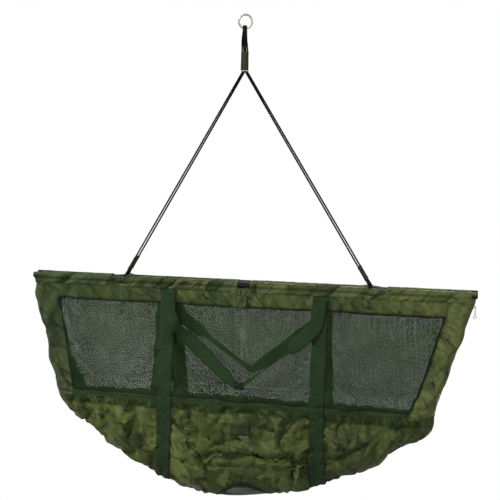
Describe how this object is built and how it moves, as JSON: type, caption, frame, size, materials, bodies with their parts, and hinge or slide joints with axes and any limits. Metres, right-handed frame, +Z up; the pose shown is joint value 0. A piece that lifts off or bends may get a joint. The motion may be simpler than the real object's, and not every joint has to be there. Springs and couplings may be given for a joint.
{
  "type": "carp weigh sling",
  "caption": "Nylon weigh sling with net windows, two poles in sewn pockets, webbing straps and handles, end zips, and four cords gathered under a steel hanging ring.",
  "frame": {"origin": "where a scale's hook bears, inside the top of the hanging ring", "axes": "+X along the poles to the right, +Y from the front wall to the back wall, +Z up along the hanging line"},
  "size_m": [1.2, 0.154, 1.285],
  "materials": {
    "steel": "bright, lightly brushed",
    "cord": "braided polyester cord, matt",
    "thread": "tight whipping thread, matt",
    "webbing": "woven webbing, matt",
    "nylon": "thin coated nylon, slight sheen",
    "net": "soft knitted mesh, matt",
    "pole": "glossy fibreglass",
    "rubber": "matt",
    "zip_tape": "woven tape with coil teeth",
    "zip_metal": "nickel plated, worn"
  },
  "bodies": {
    "ring": {"scale_ring": "steel"},
    "harness": {"cord_loop_left": "cord", "cord_loop_right": "cord", "cord_sleeve": "webbing"},
    "front_frame": {"cord_leg_front_left": "cord", "cord_leg_front_right": "cord", "cord_whipping_front_left": "thread", "cord_whipping_front_right": "thread", "pole_front_left": "pole", "pole_cap_front_left": "rubber", "pole_coupling_front": "pole"},
    "back_frame": {"cord_leg_back_left": "cord", "cord_leg_back_right": "cord", "cord_whipping_back_left": "thread", "cord_whipping_back_right": "thread", "pole_back_left": "pole", "pole_cap_back_left": "rubber", "pole_coupling_back": "pole"},
    "front_pole_right": {"pole_front_right": "pole", "pole_cap_front_right": "rubber"},
    "back_pole_right": {"pole_back_right": "pole", "pole_cap_back_right": "rubber"},
    "front_wall": {"pole_pocket_front_left": "nylon", "pole_pocket_front_right": "nylon", "wall_panel_front": "nylon", "end_panel_front_left": "nylon", "end_panel_front_right": "nylon", "window_net_front_left": "net", "window_net_front_middle": "net", "window_net_front_right": "net", "strap_upper_front_left": "webbing", "strap_upper_front_right": "webbing", "zip_tape_front_left": "zip_tape", "zip_tape_front_right": "zip_tape"},
    "back_wall": {"pole_pocket_back_left": "nylon", "pole_pocket_back_right": "nylon", "wall_panel_back": "nylon", "end_panel_back_left": "nylon", "end_panel_back_right": "nylon", "window_net_back_left": "net", "window_net_back_middle": "net", "window_net_back_right": "net", "strap_upper_back_left": "webbing", "strap_upper_back_right": "webbing", "zip_tape_back_left": "zip_tape", "zip_tape_back_right": "zip_tape"},
    "bowl": {"bag_bowl": "nylon", "keel_drain_net": "net", "corner_drain_net_left": "net", "corner_drain_net_right": "net", "strap_under_left": "webbing", "strap_under_right": "webbing"},
    "front_handle": {"carry_handle_front": "webbing", "handle_wrap_front": "thread"},
    "back_handle": {"carry_handle_back": "webbing", "handle_wrap_back": "thread"},
    "left_slider": {"zip_slider_left": "zip_metal"},
    "right_slider": {"zip_slider_right": "zip_metal"},
    "left_pull": {"zip_pull_left": "zip_metal"},
    "right_pull": {"zip_pull_right": "zip_metal"}
  },
  "joints": [
    {"name": "harness_swing", "type": "hinge", "parent": "ring", "child": "harness", "pos_m": [0, 0, -0.0285], "axis": [1, 0, 0], "range_deg": [-45, 45]},
    {"name": "mouth_open", "type": "hinge", "parent": "harness", "child": "front_frame", "pos_m": [0, -0.0025, -0.134], "axis": [-1, 0, 0], "range_deg": [0, 15]},
    {"name": "back_frame_open", "type": "hinge", "parent": "harness", "child": "back_frame", "pos_m": [0, 0.0025, -0.134], "axis": [1, 0, 0], "range_deg": [0, 15]},
    {"name": "front_wall_turn", "type": "hinge", "parent": "front_frame", "child": "front_wall", "pos_m": [0, -0.0125, -0.689], "axis": [1, 0, 0], "range_deg": [0, 42]},
    {"name": "back_wall_turn", "type": "hinge", "parent": "back_frame", "child": "back_wall", "pos_m": [0, 0.0125, -0.689], "axis": [-1, 0, 0], "range_deg": [0, 42]},
    {"name": "bowl_turn", "type": "hinge", "parent": "front_wall", "child": "bowl", "pos_m": [0, -0.075, -1], "axis": [-1, 0, 0], "range_deg": [0, 27]},
    {"name": "front_pole_pull", "type": "slide", "parent": "front_frame", "child": "front_pole_right", "axis": [1, 0, 0], "range_m": [0, 0.05]},
    {"name": "back_pole_pull", "type": "slide", "parent": "back_frame", "child": "back_pole_right", "axis": [1, 0, 0], "range_m": [0, 0.05]},
    {"name": "front_handle_lift", "type": "hinge", "parent": "front_wall", "child": "front_handle", "pos_m": [0, -0.03512, -0.78225], "axis": [-1, 0, 0], "range_deg": [0, 150]},
    {"name": "back_handle_lift", "type": "hinge", "parent": "back_wall", "child": "back_handle", "pos_m": [0, 0.03512, -0.78225], "axis": [1, 0, 0], "range_deg": [0, 150]},
    {"name": "left_zip", "type": "slide", "parent": "front_wall", "child": "left_slider", "axis": [0.2948, 0, -0.9556], "range_m": [0, 0.275]},
    {"name": "right_zip", "type": "slide", "parent": "front_wall", "child": "right_slider", "axis": [-0.2948, 0, -0.9556], "range_m": [0, 0.275]},
    {"name": "left_pull_swing", "type": "hinge", "parent": "left_slider", "child": "left_pull", "pos_m": [-0.59483, 0, -0.72096], "axis": [0, 1, 0], "range_deg": [-5, 150]},
    {"name": "right_pull_swing", "type": "hinge", "parent": "right_slider", "child": "right_pull", "pos_m": [0.59483, 0, -0.72096], "axis": [0, -1, 0], "range_deg": [-5, 150]}
  ],
  "couplings": [
    {"joint": "back_frame_open", "follows": "mouth_open", "ratio": 1},
    {"joint": "front_wall_turn", "follows": "mouth_open", "ratio": 2.746},
    {"joint": "back_wall_turn", "follows": "mouth_open", "ratio": 2.746},
    {"joint": "bowl_turn", "follows": "mouth_open", "ratio": 1.746}
  ]
}
